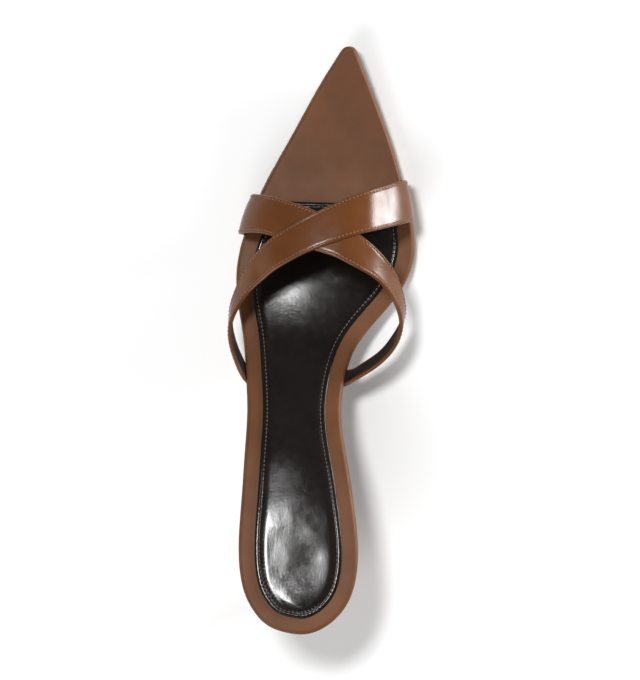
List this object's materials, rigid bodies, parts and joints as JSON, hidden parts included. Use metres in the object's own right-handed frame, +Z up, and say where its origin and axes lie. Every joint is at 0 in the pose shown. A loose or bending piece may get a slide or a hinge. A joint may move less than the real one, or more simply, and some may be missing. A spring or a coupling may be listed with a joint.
{
  "type": "kitten heel sandal",
  "caption": "Slip-on pointed sandal with crossing leather straps, a padded sock on a wrapped insole, a curved arch and a low slim heel. Left shoe.",
  "frame": {"origin": "on the floor under the middle of the forefoot's flat tread, where the outsole rests", "axes": "+Y from the heel to the toe, +X to the medial side, +Z up from the floor the empty shoe stands on"},
  "size_m": [0.0796, 0.2604, 0.058],
  "materials": {
    "outsole": "smooth brown sole leather",
    "insole": "satin brown leather wrapped round the insole board",
    "sock": "glossy padded black leather",
    "upper": "satin brown leather lined in black leather",
    "heel": "satin brown leather over a moulded heel",
    "top_piece": "hard matte rubber"
  },
  "bodies": {
    "root": {"outsole": "outsole", "insole": "insole", "sock": "sock", "upper": "upper", "heel": "heel", "top_piece": "top_piece"}
  },
  "joints": []
}
